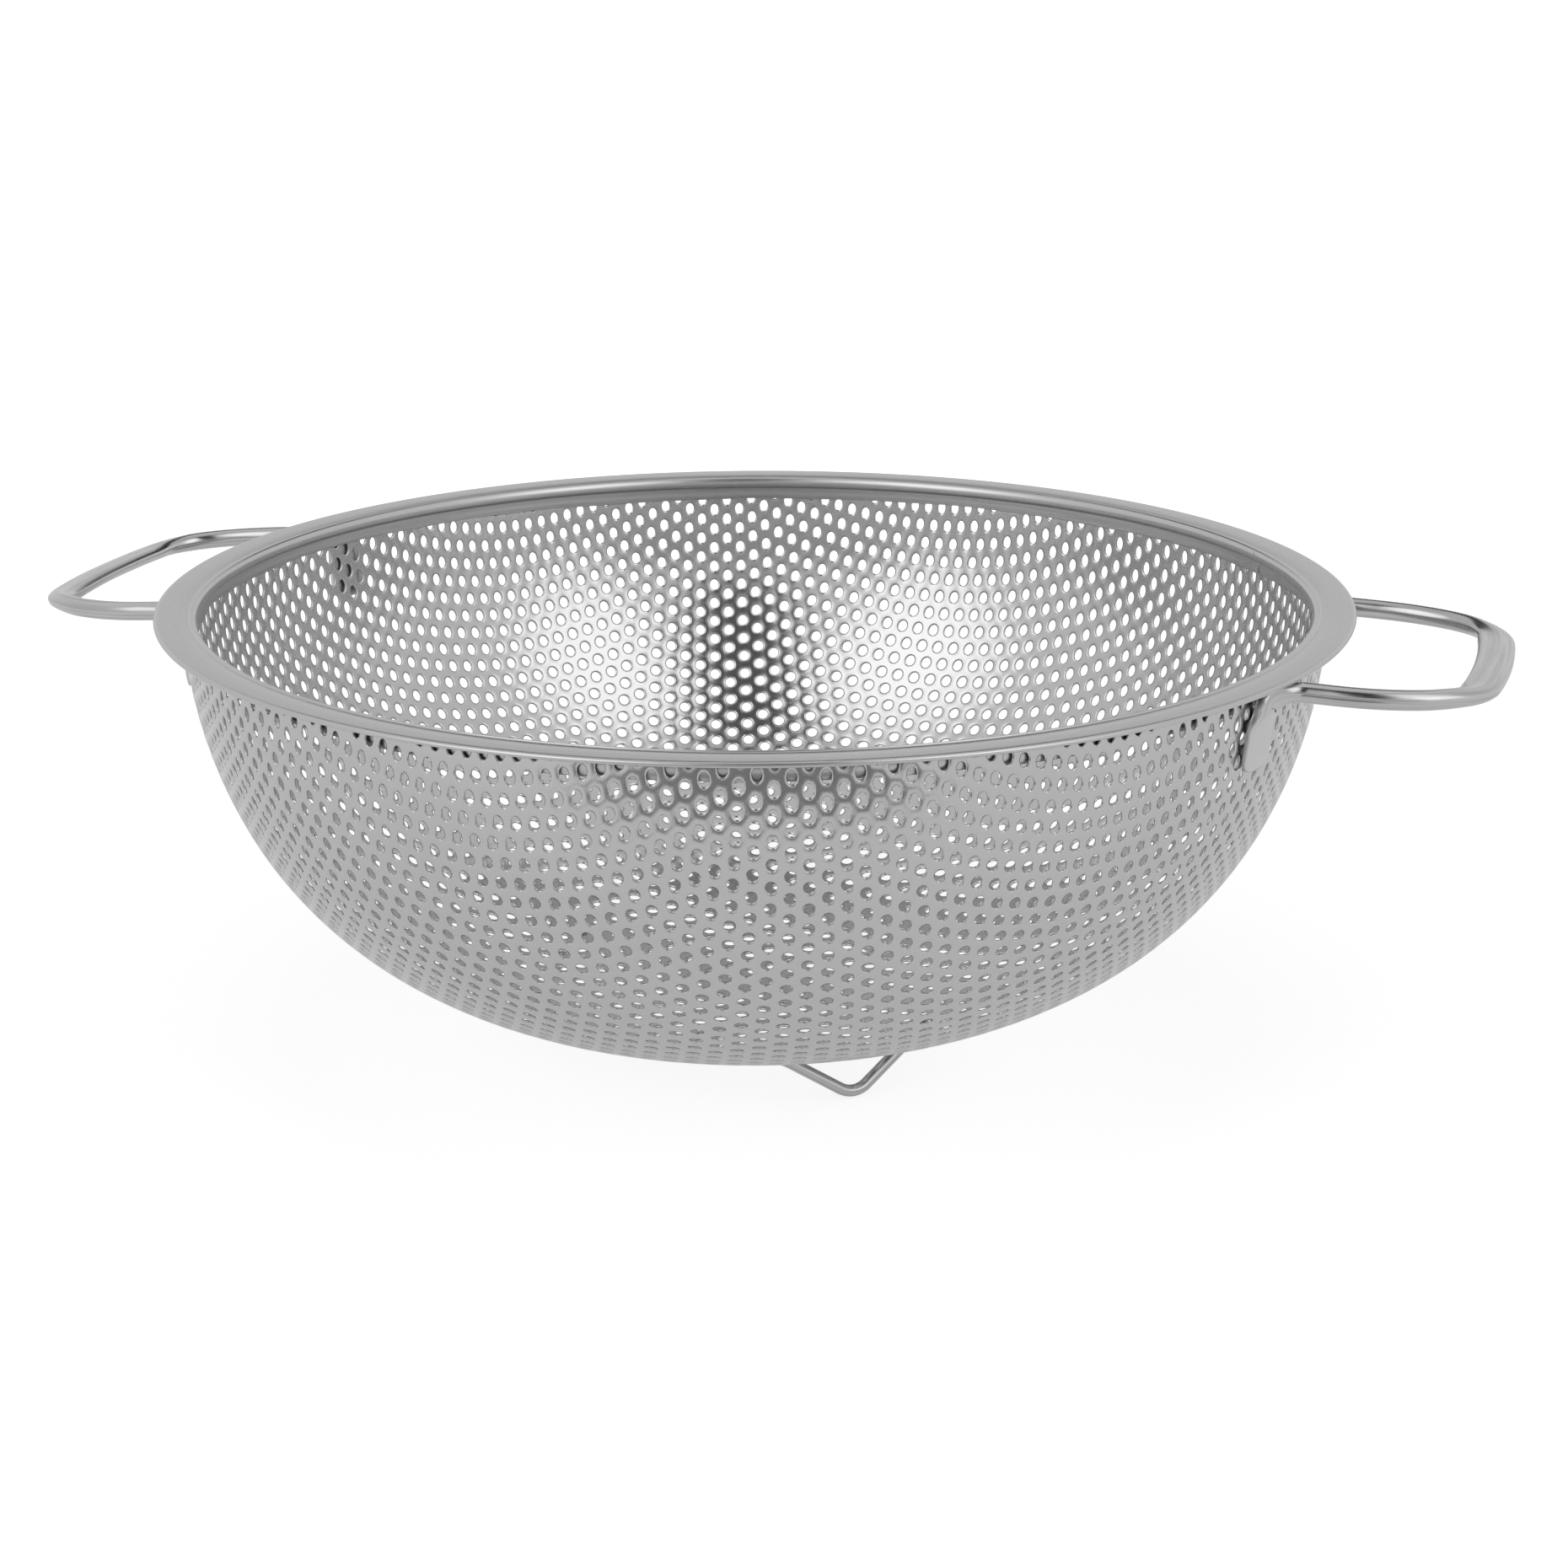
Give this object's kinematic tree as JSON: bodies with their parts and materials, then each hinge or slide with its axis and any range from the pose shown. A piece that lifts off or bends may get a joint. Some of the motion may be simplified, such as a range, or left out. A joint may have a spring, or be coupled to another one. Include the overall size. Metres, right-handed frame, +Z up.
{
  "type": "footed colander",
  "caption": "Round footed colander: a drawn bowl of perforated steel sheet in a hemmed rim ring, with looped rod handles and bent wire feet.",
  "frame": {"origin": "on the ground under the bowl's axis, at the level of the feet's tips", "axes": "+X along the line through the two handles, +Z up out of the bowl's mouth, +Y completes the right-handed frame"},
  "size_m": [0.3508, 0.2798, 0.1081],
  "materials": {
    "perforated_sheet": "satin stainless sheet, perforated and drawn",
    "rim_steel": "satin stainless, smooth pressed flange",
    "handle_rod": "polished stainless rod",
    "foot_wire": "bright drawn stainless wire"
  },
  "bodies": {
    "root": {"perforated_bowl": "perforated_sheet", "rim_ring": "rim_steel", "handle_right": "handle_rod", "handle_left": "handle_rod", "foot_front": "foot_wire", "foot_back": "foot_wire", "foot_left": "foot_wire"}
  },
  "joints": []
}
